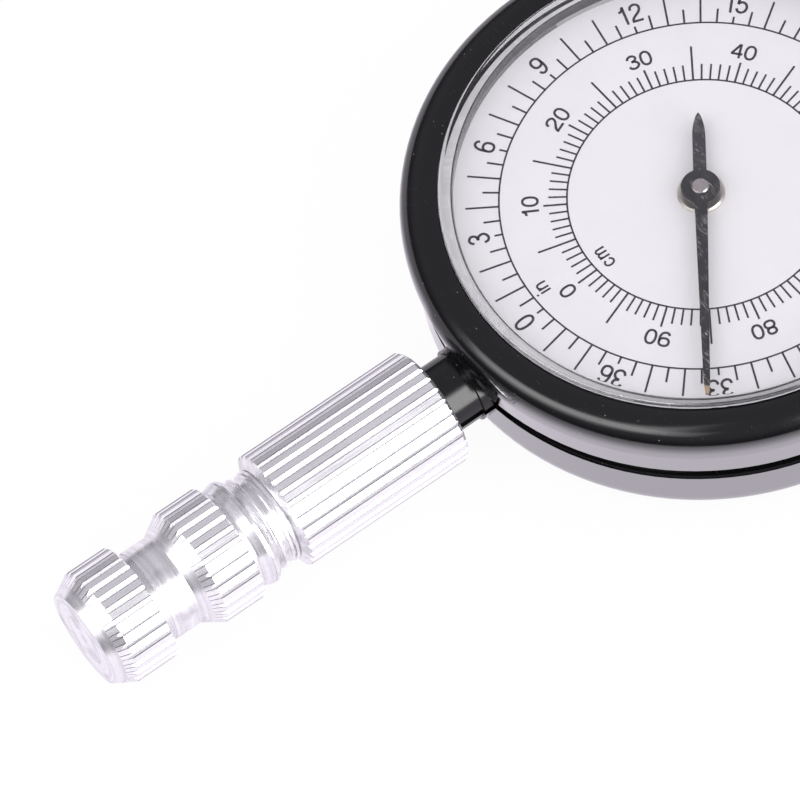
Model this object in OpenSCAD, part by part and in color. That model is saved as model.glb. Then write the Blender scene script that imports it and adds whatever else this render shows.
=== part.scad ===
// Opisometer (map measurer): a round black case with a dial under a clear crystal,
// a turned aluminium handle on -Y and a tracing wheel in a nose on +Y. Lying on its back:
// the origin is the centre of the flat back, +Z comes out of the dial. Millimetres.

/* [Case] */
// Widest radius of the case, at the rim bead
rim_r = 20.13; // [19.9:0.01:22]
// Radius of the rounded bead of the rim
bead_r = 1.88; // [1.6:0.01:2.1]
// Height of the bead's centre over the dial's face
bead_up = 0.27; // [0:0.01:0.4]
// How far the wall draws in from the bead to the parting line
wall_draft = 0.63; // [0.4:0.01:0.8]
// How far the window in the rim lies inside the widest radius
window_inset = 2.66; // [2.5:0.01:2.8]
// Rounding of the back edge
back_round = 1.6; // [1.2:0.1:1.9]
// Thickness of the back wall
back_t = 1.2; // [1:0.1:1.4]
// Thickness of the side wall at the parting line
side_t = 1.6; // [1.4:0.1:1.8]
// Thickness of the ledge that carries the dial
ledge_t = 0.5; // [0.4:0.05:0.9]
// Width of the ring on which each movement plate seats
seat_w = 1.4; // [1:0.1:1.8]
// Height of the seat ring in the rear case
seat_h = 0.6; // [0.5:0.1:0.9]
// Height of the groove round the parting line
groove_h = 1.4; // [1:0.1:1.5]
// How far the middle of the groove lies above the parting line
groove_up = 0.3; // [0.1:0.05:0.35]
// Depth of the groove round the parting line
groove_d = 0.55; // [0.3:0.05:0.7]
// Height of the finer groove along the neck and the nose
seam_h = 0.6; // [0.4:0.05:0.7]
// Depth of the finer groove along the neck and the nose
seam = 0.22; // [0.15:0.01:0.3]

/* [Dial and crystal] */
// Thickness of the dial plate
dial_t = 0.3; // [0.2:0.1:0.5]
// Play of the dial in the window
dial_gap = 0.15; // [0.1:0.05:0.3]
// Play of the crystal in the window
crystal_gap = 0.02; // [0.01:0.01:0.05]
// Wall of the crystal's skirt
skirt_t = 0.85; // [0.7:0.05:1]
// Free height under the crystal
crystal_room = 1.6; // [1.3:0.05:1.8]
// Thickness of the crystal's top
crystal_t = 0.7; // [0.5:0.05:0.9]
// Chamfer round the crystal's top edge
crystal_chamfer = 0.35; // [0.2:0.05:0.4]

/* [Pointer] */
// Gap between the point of the blade and the crystal's wall
blade_gap = 0.7; // [0.3:0.1:4]
// Length of the tail from the arbor
tail_len = 5.8; // [4:0.1:8]
// Width of the blade at the hub
blade_w = 0.9; // [0.7:0.05:1.1]
// Width of the blade just before its point
blade_tip_w = 0.43; // [0.3:0.01:0.6]
// Radius of the hub disc
hub_r = 1.32; // [1.2:0.02:1.5]
// Thickness of the pointer
pointer_t = 0.2; // [0.15:0.05:0.25]
// Direction of the blade at rest
pointer_angle = -35.4; // [-180:0.1:180]
// Radius of the riveted end of the arbor over the pointer
rivet_r = 0.59; // [0.56:0.01:0.7]
// Height of the riveted end
rivet_h = 0.15; // [0.1:0.01:0.15]
// Radius of the collet under the hub
collet_r = 0.95; // [0.8:0.05:1.1]
// Height of the collet
collet_h = 0.3; // [0.2:0.05:0.3]

/* [Train] */
// Tooth module
module_mm = 0.3; // [0.3:0.005:0.31]
// Teeth of each of the two pinions
pinion_teeth = 8; // [8:1:8]
// Teeth of each of the two large wheels
wheel_teeth = 48; // [46:2:48]
// Teeth of the idler
idler_teeth = 28; // [28:2:30]
// Line length measured by one turn of the pointer
measured_turn = 1000; // [950:1:1050]
// Thickness of the toothed wheels
gear_t = 0.6; // [0.5:0.05:0.7]
// Height of a gap between parts that turn side by side
gear_gap = 0.25; // [0.2:0.01:0.3]
// Radial running clearance of every turning journal
run_gap = 0.03; // [0.02:0.01:0.06]
// Running play at the ends of an arbor or a hub
end_play = 0.1; // [0.05:0.01:0.15]
// Radius of the centre and intermediate arbors
arbor_r = 0.5; // [0.45:0.01:0.5]
// Radius of the journals in the plates
journal_r = 0.35; // [0.3:0.01:0.4]
// Radius of the hubs of the toothed wheels
wheel_hub_r = 1.1; // [1:0.05:1.3]
// Radius of the lightening holes in the large wheels
crossing_r = 1.5; // [1.2:0.1:1.6]

/* [Movement frame] */
// Thickness of the movement plates
plate_t = 0.5; // [0.4:0.05:0.6]
// Length of the pillars between the plates
pillar_len = 4.2; // [4.1:0.05:4.5]
// Radius of the pillars
pillar_r = 1; // [0.9:0.05:1.1]
// Radius of the riveted pillar ends in the front plate
pillar_stub_r = 0.6; // [0.5:0.05:0.7]
// Room between the heads of the plate screws and the seat ring
pillar_gap = 0.4; // [0.2:0.1:0.6]
// Angle of the pillars from the X axis
pillar_angle = 32; // [28:1:34]
// Radius of the bush of the centre arbor
bush_r = 1; // [0.9:0.05:1.1]
// Radius of the bush's flange on the dial
bush_flange_r = 1.62; // [1.4:0.02:1.8]
// Height of the bush's flange
bush_flange_h = 0.35; // [0.2:0.05:0.35]

/* [Screws] */
// Radius of the case screws
screw_r = 0.55; // [0.5:0.05:0.6]
// Radius of the case screws' heads
screw_head_r = 1.2; // [1:0.05:1.3]
// Height of the case screws' heads
screw_head_h = 0.8; // [0.6:0.05:0.9]
// Radius of the screw bosses
boss_r = 1.9; // [1.8:0.05:2]
// Angle of the case screws from the X axis
screw_angle = 40; // [36:1:44]
// How deep each case screw bites into the front case
screw_bite = 2; // [1.5:0.1:2.2]
// Radius of the plate screws
plate_screw_r = 0.4; // [0.35:0.01:0.45]
// Radius of the plate screws' heads
plate_screw_head_r = 0.8; // [0.7:0.05:0.85]
// Height of the plate screws' heads
plate_screw_head_h = 0.4; // [0.3:0.05:0.45]

/* [Nose and tracing wheel] */
// Thickness of the tracing wheel
trace_t = 1.2; // [1:0.05:1.3]
// Number of serrations round the tracing wheel
serrations = 60; // [48:2:72]
// Depth of the serrations
serration_d = 0.15; // [0.1:0.01:0.2]
// Radius of the tracing arbor in its wheel and pinion
trace_arbor_r = 0.6; // [0.55:0.01:0.6]
// Radius of the tracing arbor's journals
trace_journal_r = 0.4; // [0.35:0.01:0.45]
// Outer radius of the nose bushes
nose_bush_r = 0.9; // [0.8:0.05:1]
// Radius of the nose round the tracing arbor
nose_tip_r = 3.2; // [3:0.05:3.4]
// Radius of the nose where it leaves the case
nose_base_r = 6.2; // [6.1:0.05:6.6]
// Distance of the nose's wide end from the widest rim
nose_base_in = 2.13; // [1.9:0.01:2.3]
// Half the thickness of the nose at the case
nose_half = 2.9; // [2.8:0.05:3.1]
// Chamfer along the nose's edges
nose_chamfer = 0.5; // [0.3:0.05:0.6]
// Radial room round the tracing wheel in its slot
slot_gap = 0.4; // [0.3:0.05:0.45]
// Room beside the tracing wheel in its slot
slot_side_gap = 0.2; // [0.15:0.01:0.24]
// Radius of the idler pin in the idler
idler_pin_r = 0.4; // [0.35:0.01:0.42]
// Radius of the idler pin below its shoulder
idler_shoulder_r = 0.62; // [0.58:0.01:0.65]
// How deep the idler pin seats in each half of the case
pin_seat = 0.8; // [0.5:0.05:1]

/* [Neck and handle] */
// Radius of the neck
neck_r = 2.5; // [2.4:0.05:2.8]
// Radius of the boss at the root of the neck
neck_boss_r = 2.7; // [2.6:0.05:3]
// How far the neck's boss stands out of the case wall
neck_boss_out = 0.65; // [0.4:0.05:1]
// Length of the neck between its boss and the handle
neck_len = 2.4; // [1.5:0.1:4]
// How deep the neck sits in the handle
neck_seat = 2; // [1.5:0.1:2.5]
// Play of the neck in the handle
neck_gap = 0.05; // [0.02:0.01:0.1]
// Radius of the threaded stud
stud_r = 1.5; // [1.3:0.05:1.6]
// Radius of the collar that holds the stud in the neck
collar_r = 2; // [1.9:0.05:2.1]
// Thickness of the collar
collar_t = 1; // [0.8:0.1:1]
// How far the stud reaches into the handle past the neck
stud_reach = 8; // [6:0.5:9]
// Radius of the handle
handle_r = 4.25; // [4:0.05:4.3]
// Length of the long fluted grip
grip_len = 12.8; // [12:0.1:20]
// Length of the turned rings behind the grip
rings_len = 3.85; // [3.6:0.05:5]
// Length of each short fluted band
band_len = 3.05; // [2:0.05:5]
// Length of each turned chamfer
bevel_len = 1.45; // [1:0.05:1.8]
// Radius of the smooth waist
waist_r = 3.35; // [3.1:0.05:3.5]
// Length of the smooth waist
waist_len = 2.6; // [2:0.1:4]
// Radius of the flat end
end_r = 3.45; // [3:0.05:3.6]
// Number of flutes round the handle
flutes = 30; // [24:1:32]
// Depth of the flutes
flute_d = 0.2; // [0.15:0.01:0.3]
// Width of the flutes as a share of their spacing
flute_share = 0.45; // [0.4:0.01:0.7]

/* [Hidden] */
$fn = 96;
eps = 0.01;
far = 60;

// Radii of the case
wall_r = rim_r - wall_draft;
chamber_r = wall_r - side_t;
window_r = rim_r - window_inset;
bead_cr = rim_r - bead_r;
back_flat_r = wall_r - back_round;

// Heights, from the back upwards
rear_plate_z = back_t + seat_h;
rear_plate_top = rear_plate_z + plate_t;
part_z = rear_plate_top + pillar_len / 2;
front_plate_z = rear_plate_top + pillar_len;
ledge_z = front_plate_z + plate_t;
dial_z = ledge_z + ledge_t;
face_z = dial_z + dial_t;
crystal_in_z = face_z + crystal_room;
crystal_top = crystal_in_z + crystal_t;
bead_z = face_z + bead_up;

// Train: all the arbors stand on the Y axis, from the centre out to the nose
pinion_pitch_r = module_mm * pinion_teeth / 2;
wheel_pitch_r = module_mm * wheel_teeth / 2;
idler_pitch_r = module_mm * idler_teeth / 2;
mid_y = wheel_pitch_r + pinion_pitch_r;
idler_y = mid_y + wheel_pitch_r + idler_pitch_r;
trace_y = idler_y + idler_pitch_r + pinion_pitch_r;
train_ratio = pow(wheel_teeth / pinion_teeth, 2);
trace_r = measured_turn / train_ratio / (2 * PI);
addendum = 0.8 * module_mm;
dedendum = 1.25 * module_mm;
tooth_share = 0.4;
tip_share = 0.2;
root_share = 0.5;

// Levels of the train beside the tracing wheel
upper_z = part_z + trace_t / 2 + gear_gap;
lower_z = part_z - trace_t / 2 - gear_gap - gear_t;
hub_extra = 0.1;
slot_half = trace_t / 2 + slot_side_gap;
cavity_z = upper_z - gear_gap + end_play / 2;
cavity_top = upper_z + gear_t + gear_gap - end_play / 2;
train_room = 0.25;

// Movement frame and screws
screw_pcr = chamber_r - boss_r + 0.3;
plate_gap = 0.3;
plate_r = screw_pcr - boss_r - plate_gap;
seat_r = plate_r - seat_w;
pillar_pcr = seat_r - plate_screw_head_r - pillar_gap;
pin_clear = 0.1;
plate_screw_len = 1.5;

// Crystal and pointer
crystal_r = window_r - crystal_gap;
crystal_in_r = crystal_r - skirt_t;
blade_len = crystal_in_r - blade_gap;
pointer_z = face_z + bush_flange_h + end_play + collet_h;
blade_point = 0.9;
tail_point = 1.9;
blade_end = 0.11;

// Nose
nose_base_y = rim_r - nose_base_in;
nose_lean = asin((nose_base_r - nose_tip_r) / (trace_y - nose_base_y));
nose_tip_half = nose_half - 0.4;
nose_tip_y = trace_y + nose_tip_r;
pin_foot = part_z - slot_half - pin_seat;
pin_shoulder = upper_z - hub_extra - end_play / 2;

// Neck and handle, as distances from the centre towards -Y
neck_root = chamber_r + 0.3;
neck_boss_y = wall_r + neck_boss_out;
handle_y = neck_boss_y + neck_len;
neck_end = handle_y + neck_seat;
collar_y = chamber_r + 0.6;
stud_end = neck_end + stud_reach;
root_r = handle_r - flute_d;
rings_y = handle_y + grip_len;
band1_y = rings_y + rings_len;
bevel1_y = band1_y + band_len;
waist_y = bevel1_y + bevel_len;
band2_y = waist_y + waist_len;
bevel2_y = band2_y + band_len;
handle_end = bevel2_y + bevel_len;
edge_break = 0.25;
core_r = waist_r - 0.3;
inside = 0.6;

// A ring or disc between two heights
module disc(r, z0, z1) {
  translate([0, 0, z0]) cylinder(r = r, h = z1 - z0);
}

// Four places, mirrored about X and Y
module four(radius, angle) {
  for (sx = [-1, 1], sy = [-1, 1])
    translate([sx * radius * cos(angle), sy * radius * sin(angle), 0]) children();
}

// Turns a shape made along +Z so that it runs along -Y at the height of the parting plane
module along_handle() {
  translate([0, 0, part_z]) rotate([90, 0, 0]) children();
}

// Outline of a toothed wheel with a tooth, or a gap, on the X axis
module toothed_outline(teeth, start) {
  pitch_r = module_mm * teeth / 2;
  step = 360 / teeth;
  shape = [
    [pitch_r - dedendum, -root_share], [pitch_r, -tooth_share], [pitch_r + addendum, -tip_share],
    [pitch_r + addendum, tip_share], [pitch_r, tooth_share], [pitch_r - dedendum, root_share]
  ];
  polygon([
    for (i = [0:teeth - 1], p = shape)
      let (a = start + (i + p[1] / 2) * step)
        [p[0] * cos(a), p[0] * sin(a)]
  ]);
}

// Large brass wheel with its hub and four crossings
module large_wheel(z0, start) {
  crossing_pcr = (wheel_pitch_r - dedendum + wheel_hub_r) / 2;
  difference() {
    union() {
      translate([0, 0, z0]) linear_extrude(gear_t) toothed_outline(wheel_teeth, start);
      disc(wheel_hub_r, z0 - hub_extra, z0 + gear_t + hub_extra);
    }
    disc(arbor_r, z0 - 1, z0 + gear_t + 1);
    for (a = [45:90:315])
      rotate([0, 0, a]) translate([crossing_pcr, 0, 0]) disc(crossing_r, z0 - 1, z0 + gear_t + 1);
  }
}

module pinion(z0, bore_r) {
  difference() {
    translate([0, 0, z0 - hub_extra / 2])
      linear_extrude(gear_t + hub_extra) toothed_outline(pinion_teeth, 0);
    disc(bore_r, z0 - 1, z0 + gear_t + 1);
  }
}

// Plan of the nose: a round tip and two straight sides tangent to it, drawn in by inset
module nose_outline(inset) {
  tip = nose_tip_r - inset;
  base = nose_base_r - inset;
  c = cos(nose_lean);
  s = sin(nose_lean);
  translate([0, trace_y]) circle(r = tip);
  polygon([
    [-base * c, nose_base_y + base * s], [-base, nose_base_y - 1], [base, nose_base_y - 1],
    [base * c, nose_base_y + base * s], [tip * c, trace_y + tip * s], [-tip * c, trace_y + tip * s]
  ]);
}

// Side view of the nose, thinner towards its tip, with chamfered end edges
module nose_side() {
  base_y = nose_base_y - 1;
  polygon([
    [base_y, part_z - nose_half], [trace_y, part_z - nose_tip_half],
    [nose_tip_y - nose_chamfer, part_z - nose_tip_half],
    [nose_tip_y, part_z - nose_tip_half + nose_chamfer],
    [nose_tip_y, part_z + nose_tip_half - nose_chamfer],
    [nose_tip_y - nose_chamfer, part_z + nose_tip_half],
    [trace_y, part_z + nose_tip_half], [base_y, part_z + nose_half]
  ]);
}

// Chamfer cut along one long edge of the nose
module nose_edge_cut(side, up) {
  tilt = atan2(nose_half - nose_tip_half, trace_y - nose_base_y);
  c = cos(nose_lean);
  s = sin(nose_lean);
  mirror([side < 0 ? 1 : 0, 0, 0])
    translate([nose_base_r * c, nose_base_y + nose_base_r * s, part_z + up * nose_half])
      rotate([0, 0, nose_lean])
        rotate([-up * tilt, 0, 0])
          rotate([0, 45, 0]) cube([nose_chamfer * sqrt(2), far / 2, nose_chamfer * sqrt(2)], center = true);
}

module nose_solid() {
  difference() {
    intersection() {
      translate([0, 0, part_z - nose_half]) linear_extrude(2 * nose_half) nose_outline(0);
      rotate([90, 0, 90]) translate([0, 0, -far / 2]) linear_extrude(far) nose_side();
    }
    for (side = [-1, 1], up = [-1, 1]) nose_edge_cut(side, up);
  }
}

// Room in the nose for the tracing wheel, its pinion and the idler
module nose_rooms() {
  translate([0, trace_y, 0]) disc(trace_r + slot_gap, part_z - slot_half, part_z + slot_half);
  translate([0, trace_y, 0])
    disc(pinion_pitch_r + addendum + train_room, part_z, cavity_top);
  translate([0, idler_y, 0])
    disc(idler_pitch_r + addendum + train_room, cavity_z, cavity_top);
  translate([0, trace_y, 0]) disc(nose_bush_r, -eps, face_z);
}

// The neck as a whole round bar: its boss, its seam and the stud's bore are the same in both halves
module neck_solid() {
  along_handle() {
    translate([0, 0, neck_root]) cylinder(r = neck_r, h = neck_end - neck_root);
    translate([0, 0, neck_root]) cylinder(r = neck_boss_r, h = neck_boss_y - neck_root);
  }
}

module neck_rooms() {
  along_handle() {
    cylinder(r = stud_r, h = neck_end + 1);
    translate([0, 0, collar_y]) cylinder(r = collar_r, h = collar_t);
  }
  for (side = [-1, 1])
    translate([side * (neck_boss_r - seam / 2), -(wall_r - groove_d + handle_y + seam) / 2, part_z])
      cube([seam + 2 * (neck_boss_r - neck_r), handle_y - wall_r + groove_d + seam, seam_h], center = true);
}

module nose_seam() {
  translate([0, 0, part_z - seam_h / 2]) linear_extrude(seam_h) difference() {
    nose_outline(-1);
    nose_outline(seam);
    translate([0, nose_base_y / 2]) square([far, nose_base_y + 2 * seam], center = true);
  }
}

// Profile of the front case: bead, wall, ledge and window
module front_profile() {
  run = [wall_r - bead_cr, part_z - bead_z];
  touch = atan2(run[1], run[0]) + acos(bead_r / norm(run));
  difference() {
    union() {
      translate([bead_cr, bead_z]) circle(r = bead_r);
      polygon([
        [seat_r, part_z], [wall_r, part_z],
        [bead_cr + bead_r * cos(touch), bead_z + bead_r * sin(touch)],
        [bead_cr, bead_z], [seat_r, bead_z]
      ]);
    }
    translate([0, part_z - 1]) square([chamber_r, ledge_z - part_z + 1]);
    translate([0, dial_z]) square([window_r, far]);
    translate([wall_r - groove_d, part_z - 1]) square([groove_d + 1, 1 + groove_up + groove_h / 2]);
  }
}

// Profile of the rear case: back, rounded edge, wall and the seat of the rear plate
module rear_profile() {
  difference() {
    union() {
      square([back_flat_r, part_z]);
      translate([0, back_round]) square([wall_r, part_z - back_round]);
      translate([back_flat_r, back_round]) circle(r = back_round);
    }
    translate([0, back_t]) square([seat_r, part_z]);
    translate([0, rear_plate_z]) square([chamber_r, part_z]);
    translate([plate_r, back_t]) square([chamber_r - plate_r, part_z]);
    translate([wall_r - groove_d, part_z + groove_up - groove_h / 2]) square([groove_d + 1, groove_h]);
    translate([-far, -far / 2]) square([far, far]);
  }
}

module upper_half() {
  intersection() {
    children();
    translate([-far / 2, -far, part_z]) cube([far, 2 * far, far]);
  }
}

module lower_half() {
  intersection() {
    children();
    translate([-far / 2, -far, part_z - far]) cube([far, 2 * far, far]);
  }
}

module front_case() {
  color("#232326") difference() {
    union() {
      rotate_extrude() front_profile();
      upper_half() difference() {
        nose_solid();
        disc(chamber_r + side_t / 2, 0, far);
      }
      upper_half() neck_solid();
      four(screw_pcr, screw_angle) disc(boss_r, part_z, ledge_z + ledge_t / 2);
    }
    nose_rooms();
    nose_seam();
    neck_rooms();
    four(screw_pcr, screw_angle) disc(screw_r, part_z - 1, part_z + screw_bite);
    translate([0, idler_y, 0]) {
      disc(idler_shoulder_r, part_z - 1, cavity_z);
      disc(idler_pin_r, cavity_z, cavity_top + pin_seat);
    }
  }
}

module rear_case() {
  color("#232326") difference() {
    union() {
      rotate_extrude() rear_profile();
      lower_half() difference() {
        nose_solid();
        disc(chamber_r + side_t / 2, -1, far);
      }
      lower_half() neck_solid();
      four(screw_pcr, screw_angle) disc(boss_r, back_t / 2, part_z);
    }
    nose_rooms();
    nose_seam();
    neck_rooms();
    four(screw_pcr, screw_angle) {
      disc(screw_r + pin_clear, -1, part_z + 1);
      disc(screw_head_r + pin_clear, -1, screw_head_h);
    }
    translate([0, idler_y, 0]) disc(idler_shoulder_r, pin_foot, part_z + 1);
  }
}

// Clear moulded crystal: a flat top on a skirt that stands on the dial's edge
module crystal() {
  color("#dfe7ee", 0.35) rotate_extrude() polygon([
    [0, crystal_in_z], [crystal_in_r, crystal_in_z], [crystal_in_r, face_z], [crystal_r, face_z],
    [crystal_r, crystal_top - crystal_chamfer], [crystal_r - crystal_chamfer, crystal_top],
    [0, crystal_top]
  ]);
}

module dial() {
  color("#f0eef3") difference() {
    disc(window_r - dial_gap, dial_z, face_z);
    disc(bush_r, dial_z - 1, face_z + 1);
  }
}

module front_plate() {
  color("#c9a94f") difference() {
    disc(plate_r, front_plate_z, ledge_z);
    disc(bush_r, front_plate_z - 1, ledge_z + 1);
    translate([0, mid_y, 0]) disc(journal_r + run_gap, front_plate_z - 1, ledge_z + 1);
    four(pillar_pcr, pillar_angle) disc(pillar_stub_r, front_plate_z - 1, ledge_z + 1);
  }
}

module rear_plate() {
  color("#c9a94f") difference() {
    disc(plate_r, rear_plate_z, rear_plate_top);
    disc(journal_r + run_gap, rear_plate_z - 1, rear_plate_top + 1);
    translate([0, mid_y, 0]) disc(journal_r + run_gap, rear_plate_z - 1, rear_plate_top + 1);
    four(pillar_pcr, pillar_angle)
      disc(plate_screw_r + pin_clear, rear_plate_z - 1, rear_plate_top + 1);
  }
}

module plate_pillars() {
  color("#c9a94f") four(pillar_pcr, pillar_angle) difference() {
    union() {
      disc(pillar_r, rear_plate_top, front_plate_z);
      disc(pillar_stub_r, front_plate_z - eps, ledge_z);
    }
    disc(plate_screw_r, rear_plate_top - 1, rear_plate_top + plate_screw_len);
  }
}

module plate_screws() {
  color("#b9bcc2") four(pillar_pcr, pillar_angle) {
    disc(plate_screw_r, rear_plate_z - eps, rear_plate_top + plate_screw_len);
    disc(plate_screw_head_r, rear_plate_z - plate_screw_head_h, rear_plate_z);
  }
}

// Countersunk-in screws from the back, with a cross slot
module case_screws() {
  slot_w = 0.35;
  slot_d = 0.3;
  recess = 0.1;
  color("#b9bcc2") four(screw_pcr, screw_angle) difference() {
    union() {
      disc(screw_r, screw_head_h - eps, part_z + screw_bite);
      disc(screw_head_r, recess, screw_head_h);
    }
    for (a = [0, 90])
      rotate([0, 0, a]) translate([0, 0, recess])
        cube([1.4 * screw_head_r, slot_w, 2 * slot_d], center = true);
  }
}

// Steel bush in the front plate, with a chamfered flange that shows on the dial
module centre_bush() {
  bore = arbor_r + run_gap;
  ease = 0.12;
  color("#c4c1ba") rotate_extrude() polygon([
    [bore, front_plate_z], [bush_r, front_plate_z], [bush_r, face_z], [bush_flange_r, face_z],
    [bush_flange_r, face_z + bush_flange_h - ease],
    [bush_flange_r - ease, face_z + bush_flange_h], [bore, face_z + bush_flange_h]
  ]);
}

// Plan of a fluted bar: flat lands between V-shaped flutes
module fluted_outline() {
  step = 360 / flutes;
  half = flute_share * step / 2;
  polygon([
    for (i = [0:flutes - 1], p = [[handle_r, -half], [root_r, 0], [handle_r, half]])
      let (a = i * step + p[1])
        [p[0] * cos(a), p[0] * sin(a)]
  ]);
}

// Core of the handle inside the fluted bands, with the turned rings and the waist
module handle_core() {
  ring_r = handle_r - 0.8;
  groove_r = ring_r - 0.25;
  crown_r = handle_r - 0.35;
  undercut = 0.1;
  undercut_len = 0.65;
  y = rings_y;
  u = rings_len / 3.85;
  rotate_extrude() polygon([
    [0, handle_y + inside], [core_r, handle_y + inside], [core_r, y], [groove_r, y],
    [groove_r, y + 0.48 * u], [ring_r, y + 0.5 * u], [ring_r, y + 0.7 * u], [groove_r, y + 0.72 * u],
    [groove_r, y + 0.8 * u], [ring_r - 0.1, y + 0.82 * u], [ring_r - 0.1, y + 1.0 * u],
    [groove_r - 0.05, y + 1.05 * u], [groove_r - 0.05, y + 1.5 * u],
    [ring_r, y + 1.55 * u], [ring_r, y + 1.65 * u], [groove_r, y + 1.7 * u],
    [groove_r, y + 1.78 * u], [crown_r - 0.1, y + 2.35 * u], [crown_r, y + 2.5 * u],
    [crown_r, y + 2.65 * u], [crown_r - 0.12, y + 2.68 * u], [crown_r - 0.12, y + 2.74 * u],
    [crown_r, y + 2.77 * u], [crown_r - 0.2, y + 3.45 * u], [ring_r, y + 3.5 * u],
    [ring_r, band1_y + inside], [core_r, band1_y + inside], [core_r, waist_y - inside / 2],
    [waist_r, waist_y - inside / 2], [waist_r, band2_y - undercut_len],
    [waist_r - undercut, band2_y - undercut_len], [waist_r - undercut, band2_y + inside],
    [core_r, band2_y + inside], [core_r, bevel2_y], [0, bevel2_y]
  ]);
}

// A fluted band between two stations: its near edge is eased, and its far end is turned down
// to end_radius over the length run, so that the flutes run out on the bevel
module fluted_ring(y0, y1, near, end_radius, run) {
  intersection() {
    translate([0, 0, y0]) linear_extrude(y1 - y0 + run) fluted_outline();
    rotate_extrude() polygon([
      [0, y0], [handle_r - near, y0], [handle_r, y0 + near], [handle_r, y1],
      [end_radius, y1 + run], [0, y1 + run]
    ]);
  }
}

module handle() {
  sink = 0.2;
  color("#d9dadd") along_handle() difference() {
    union() {
      handle_core();
      fluted_ring(handle_y, rings_y, edge_break, handle_r - 0.8, 0.4);
      fluted_ring(band1_y, bevel1_y, edge_break / 2, waist_r - sink,
        bevel_len * (handle_r - waist_r + sink) / (handle_r - waist_r));
      fluted_ring(band2_y, bevel2_y, edge_break / 2, end_r, bevel_len);
    }
    translate([0, 0, handle_y - 1]) cylinder(r = neck_r + neck_gap, h = neck_seat + 1);
    cylinder(r = stud_r, h = stud_end + 0.5);
  }
}

// Threaded steel stud: its collar is trapped between the halves of the neck
module handle_stud() {
  color("#b9bcc2") along_handle() {
    translate([0, 0, neck_root]) cylinder(r = stud_r, h = stud_end - neck_root);
    translate([0, 0, collar_y]) cylinder(r = collar_r, h = collar_t);
  }
}

// Stepped steel pin on which the idler turns
module idler_pin() {
  color("#b9bcc2") translate([0, idler_y, 0]) {
    disc(idler_shoulder_r, pin_foot, pin_shoulder);
    disc(idler_pin_r, pin_shoulder - eps, cavity_top + pin_seat);
  }
}

module nose_bush(z0, z1) {
  translate([0, trace_y, 0]) difference() {
    disc(nose_bush_r, z0, z1);
    disc(trace_journal_r + run_gap, z0 - 1, z1 + 1);
  }
}

module front_nose_bush() {
  color("#c9a94f") nose_bush(cavity_top, part_z + nose_tip_half);
}

module rear_nose_bush() {
  color("#c9a94f") nose_bush(part_z - nose_tip_half, part_z - slot_half);
}

// Serrated steel wheel that rolls along the line on the map
module tracing_wheel() {
  step = 360 / serrations;
  web = 0.15;
  color("#b9bcc2") translate([0, trace_y, part_z - trace_t / 2]) difference() {
    linear_extrude(trace_t) polygon([
      for (i = [0:serrations - 1], p = [[trace_r, -0.2], [trace_r, 0.2], [trace_r - serration_d, 0.5]])
        let (a = (i + p[1]) * step)
          [p[0] * cos(a), p[0] * sin(a)]
    ]);
    translate([0, 0, -1]) cylinder(r = trace_arbor_r, h = trace_t + 2);
    for (z = [-web, trace_t - web])
      translate([0, 0, z]) difference() {
        cylinder(r = 0.8 * trace_r, h = 2 * web);
        translate([0, 0, -1]) cylinder(r = 0.35 * trace_r, h = 3);
      }
  }
}

module tracing_arbor() {
  color("#b9bcc2") translate([0, trace_y, 0]) {
    disc(trace_arbor_r, part_z - slot_half + end_play, cavity_top - end_play);
    disc(trace_journal_r, part_z - nose_tip_half, part_z + nose_tip_half);
  }
}

module tracing_pinion() {
  color("#c9a94f") translate([0, trace_y, 0]) pinion(upper_z, trace_arbor_r);
}

module idler_wheel() {
  color("#c9a94f") translate([0, idler_y, 0]) difference() {
    union() {
      translate([0, 0, upper_z])
        linear_extrude(gear_t) toothed_outline(idler_teeth, 90 + 180 / idler_teeth);
      disc(wheel_hub_r, upper_z - hub_extra, upper_z + gear_t + hub_extra);
    }
    disc(idler_pin_r + run_gap, upper_z - 1, upper_z + gear_t + 1);
  }
}

module intermediate_arbor() {
  color("#b9bcc2") translate([0, mid_y, 0]) {
    disc(arbor_r, rear_plate_top + end_play, front_plate_z - end_play);
    disc(journal_r, rear_plate_z, ledge_z);
  }
}

module intermediate_wheel() {
  color("#c9a94f") translate([0, mid_y, 0]) large_wheel(upper_z, 90);
}

module intermediate_pinion() {
  color("#c9a94f") translate([0, mid_y, 0]) pinion(lower_z, arbor_r);
}

// Centre arbor: it turns in the bush and carries the pointer under its riveted end
module centre_arbor() {
  top = pointer_z + pointer_t;
  dome = 0.08;
  color("#b9bcc2") rotate_extrude() polygon([
    [0, rear_plate_z], [journal_r, rear_plate_z], [journal_r, rear_plate_top + end_play],
    [arbor_r, rear_plate_top + end_play], [arbor_r, top], [rivet_r, top],
    [rivet_r, top + rivet_h - dome], [rivet_r - dome, top + rivet_h], [0, top + rivet_h]
  ]);
}

module centre_wheel() {
  color("#c9a94f") large_wheel(lower_z, 90 + 180 / wheel_teeth);
}

module pointer_collet() {
  color("#c4c1ba") difference() {
    disc(collet_r, pointer_z - collet_h, pointer_z);
    disc(arbor_r, pointer_z - collet_h - 1, pointer_z + 1);
  }
}

// Black pointer: a disc hub, a tapering blade with a blunt point and a short tail with an arched one
module pointer() {
  w = blade_w / 2;
  t = blade_tip_w / 2;
  tail = 0.97 * w;
  arch = [for (i = [0:8]) [tail_point * i / 8 - tail_len, tail * sin(90 * pow(i / 8, 0.75))]];
  color("#1b1b1e") rotate([0, 0, pointer_angle]) translate([0, 0, pointer_z])
    linear_extrude(pointer_t) difference() {
      union() {
        circle(r = hub_r);
        polygon(concat([for (p = arch) [p[0], -p[1]]], [
          [0, -w], [blade_len - blade_point, -t], [blade_len, -blade_end],
          [blade_len, blade_end], [blade_len - blade_point, t], [0, w]
        ], [for (i = [8:-1:1]) arch[i]]));
      }
      circle(r = arbor_r);
    }
}

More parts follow.
